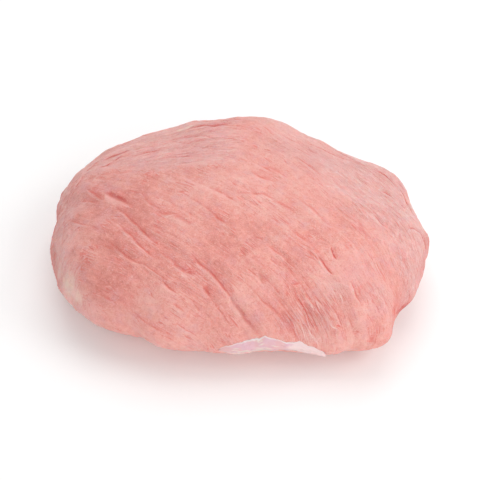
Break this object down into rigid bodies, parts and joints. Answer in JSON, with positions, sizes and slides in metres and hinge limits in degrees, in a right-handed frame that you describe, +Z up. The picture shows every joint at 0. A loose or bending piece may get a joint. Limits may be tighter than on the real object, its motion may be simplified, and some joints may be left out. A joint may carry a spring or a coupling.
{
  "type": "veal top round",
  "caption": "Raw boneless veal leg muscle, a low rounded lump with lengthwise fibre bundles and splits, lying on its flat underside.",
  "frame": {"origin": "middle of the footprint's bounding box, on the surface the meat lies on", "axes": "+X along the long side, from the left end to the right end in the picture; +Y towards the back; +Z up"},
  "size_m": [0.2822, 0.2254, 0.0874],
  "materials": {
    "raw_veal": "raw veal: moist satin flesh with pale surface film"
  },
  "bodies": {
    "root": {"veal_top_round": "raw_veal"}
  },
  "joints": []
}
